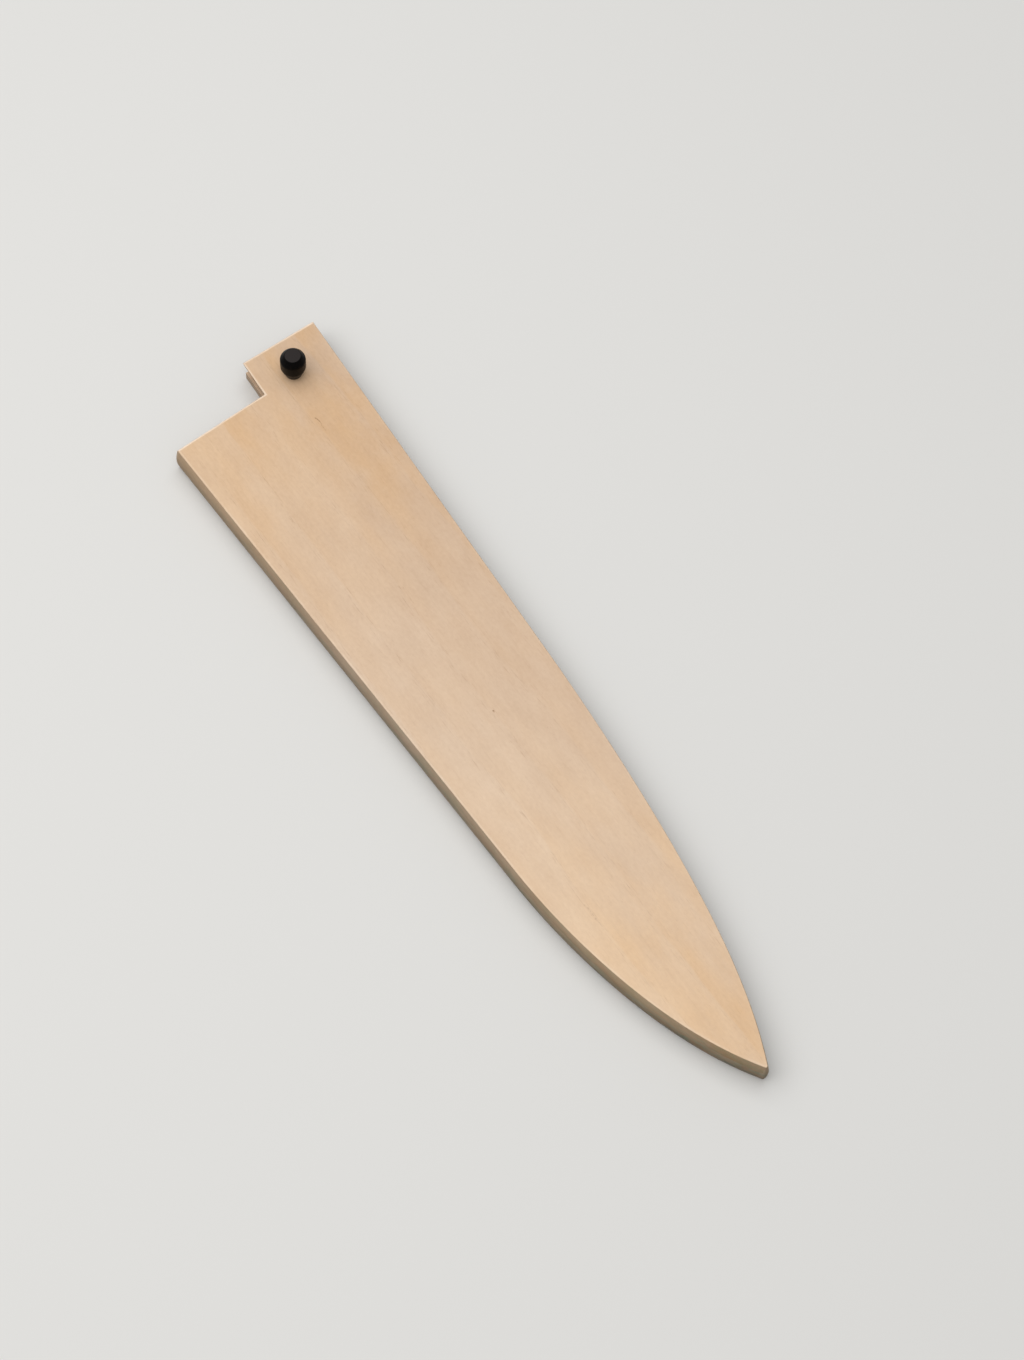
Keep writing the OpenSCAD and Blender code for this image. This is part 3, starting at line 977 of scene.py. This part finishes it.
def ebony_material(name, axis_at, top_z, top_r):
    """Turned ebony: dark streaks along Z, fine turned rings as bump, and a grey, rougher flat top, its
    grey a painted reflection. The rings are the sine of the height plus the distance from the axis."""
    material, tree, shader = new_material(name)
    where = add(tree, "ShaderNodeTexCoord").outputs["Object"]
    from_top = millimetres_from(tree, (axis_at[0], axis_at[1], top_z), where)
    streak = stretched_noise(tree, from_top, (1.4, 1.4, 0.18), 3, 0.6)
    fibre = stretched_noise(tree, from_top, (9.0, 9.0, 0.7), 2)
    x, y, z = add(tree, "ShaderNodeSeparateXYZ", {0: from_top}).outputs
    radius = maths(tree, "POWER", maths(tree, "ADD", maths(tree, "POWER", x, 2.0),
                                        maths(tree, "POWER", y, 2.0)), 0.5)
    flat_r = top_r * PER_METRE
    # the pin's flat top: its grey is a painted reflection of the lamp, and it is rougher
    top_disc = product(tree, ramp(tree, z, -0.12, -0.03),
                     ramp(tree, radius, flat_r - TOP_FADE, flat_r, 1.0, 0.0))
    color = mix(tree, ramp(tree, streak, 0.5, 0.75), EBONY, EBONY_STREAK)
    color = mix(tree, product(tree, ramp(tree, fibre, 0.55, 0.8), 0.4), color, EBONY_FIBRE)
    tree.links.new(mix(tree, top_disc, color, REFLECTED_GREY), shader.inputs["Base Color"])
    rough = maths(tree, "MULTIPLY_ADD", top_disc, SANDED_ROUGHER, ramp(tree, fibre, 0.2, 0.8, 0.28, 0.42))
    tree.links.new(rough, shader.inputs["Roughness"])
    turned = maths(tree, "SINE", product(tree, maths(tree, "ADD", radius, z), TURNING_WAVES))
    height = maths(tree, "ADD", product(tree, turned, 0.15), product(tree, fibre, 0.6))
    add_bump(tree, shader, height, EBONY_DEPTH)
    shader.inputs["Specular IOR Level"].default_value = EBONY_SHINE
    return material


ebony = ebony_material("turned_ebony", place([[*PIN_AT, 0]])[0], PIN_PROFILE[-1, 1], PIN_PROFILE[-2, 0])
print("nodes in the ebony:", len(ebony.node_tree.nodes))

# %% [markdown]
# ## Putting the pieces in the frame
#
# Each finished piece takes the place of one plain solid of the measured model and rides on the
# body that the solid moves with. Only the pin has a body of its own, so it alone moves when it is
# pulled.

# %% Give each piece its finish, its body and its place in the frame
for piece, material, node, slot, body in (
        (upper, upper_wood, "upper_plate", "pale_wood", "sheath"),
        (lower, lower_wood, "lower_plate", "pale_wood", "sheath"),
        (spine_strip, strip_wood, "spine_strip", "strip_wood", "sheath"),
        (edge_strip, strip_wood, "edge_strip", "strip_wood", "sheath"),
        (pin, ebony, "pin", "ebony", "pin")):
    piece.data.materials.append(material)
    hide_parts(node)
    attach(piece, body)
    print(piece.name, "rides on", body)

# %% [markdown]
# ## Floor and light
#
# The floor looks pale to the camera and gives only a little light back, so that the upright walls
# fall softly into shade. Light Path tells the two apart. Far away the floor shows its paper colour
# by itself, because a low view would otherwise see it darken where the lamp doesn't reach.
#
# One square lamp, 1.6 m wide and 1 m up over the mouth's and the cutting edge's side, and a dim
# even world light the object so that a colour renders about as it is written.

# %% Floor
FLOOR_HALF = 4.0
FLOOR_FADE = 0.22, 0.8
FLOOR_ROUGH, FLOOR_SHINE = 0.9, 0.1
PAPER, FAR_PAPER = srgb(226, 225, 222), srgb(221, 220, 217)
BOUNCE, NO_LIGHT = srgb(62, 62, 62), srgb(0, 0, 0)

floor_mesh = bpy.data.meshes.new("floor")
floor_corners = np.array([(-1, -1, 0), (1, -1, 0), (1, 1, 0), (-1, 1, 0)]) * FLOOR_HALF
floor_mesh.from_pydata(floor_corners.tolist(), [], [(0, 1, 2, 3)])
floor = bpy.data.objects.new("floor", floor_mesh)
bpy.context.scene.collection.objects.link(floor)
floor_material, floor_tree, floor_shader = new_material("floor_paper")
floor_ray = add(floor_tree, "ShaderNodeLightPath").outputs
floor_seen = maths(floor_tree, "MAXIMUM", floor_ray["Is Glossy Ray"], floor_ray["Is Transmission Ray"])
floor_seen = maths(floor_tree, "MAXIMUM", floor_ray["Is Camera Ray"], floor_seen)
floor_place = add(floor_tree, "ShaderNodeTexCoord").outputs["Object"]
far = product(floor_tree, floor_seen, ramp(floor_tree, length_of(floor_tree, floor_place), *FLOOR_FADE))
floor_color = mix(floor_tree, far, mix(floor_tree, floor_seen, BOUNCE, PAPER), NO_LIGHT)
floor_tree.links.new(floor_color, floor_shader.inputs["Base Color"])
floor_tree.links.new(mix(floor_tree, far, NO_LIGHT, FAR_PAPER), floor_shader.inputs["Emission Color"])
floor_shader.inputs["Emission Strength"].default_value = 1.0
floor_shader.inputs["Roughness"].default_value = FLOOR_ROUGH
floor_shader.inputs["Specular IOR Level"].default_value = FLOOR_SHINE
floor_mesh.materials.append(floor_material)
print("floor", 2 * FLOOR_HALF, "m wide")

# %% Light
FILL, BACKDROP = 0.34, 0.84
KEY_FROM = Vector((-0.2, -0.2, 1.0))
KEY_SIZE = 1.6
KEY_WATTS = 12.5

world = bpy.data.worlds.new("studio")
bpy.context.scene.world = world
world.use_nodes = True
world_tree = world.node_tree
background = world_tree.nodes["Background"]
camera_ray = add(world_tree, "ShaderNodeLightPath").outputs["Is Camera Ray"]
world_tree.links.new(ramp(world_tree, camera_ray, 0.0, 1.0, FILL, BACKDROP), background.inputs["Color"])
background.inputs["Strength"].default_value = 1.0

key = bpy.data.objects.new("key_light", bpy.data.lights.new("key_light", "AREA"))
bpy.context.scene.collection.objects.link(key)
key.data.shape = "SQUARE"
key.data.size = KEY_SIZE
key.data.energy = KEY_WATTS
key.location = KEY_FROM
key.visible_camera = False
key.rotation_euler = (-KEY_FROM).to_track_quat("-Z", "Y").to_euler()
bpy.context.scene.view_settings.view_transform = "Standard"
print("key light", key.data.energy, "W")

# %% Finish
bpy.context.view_layer.update()
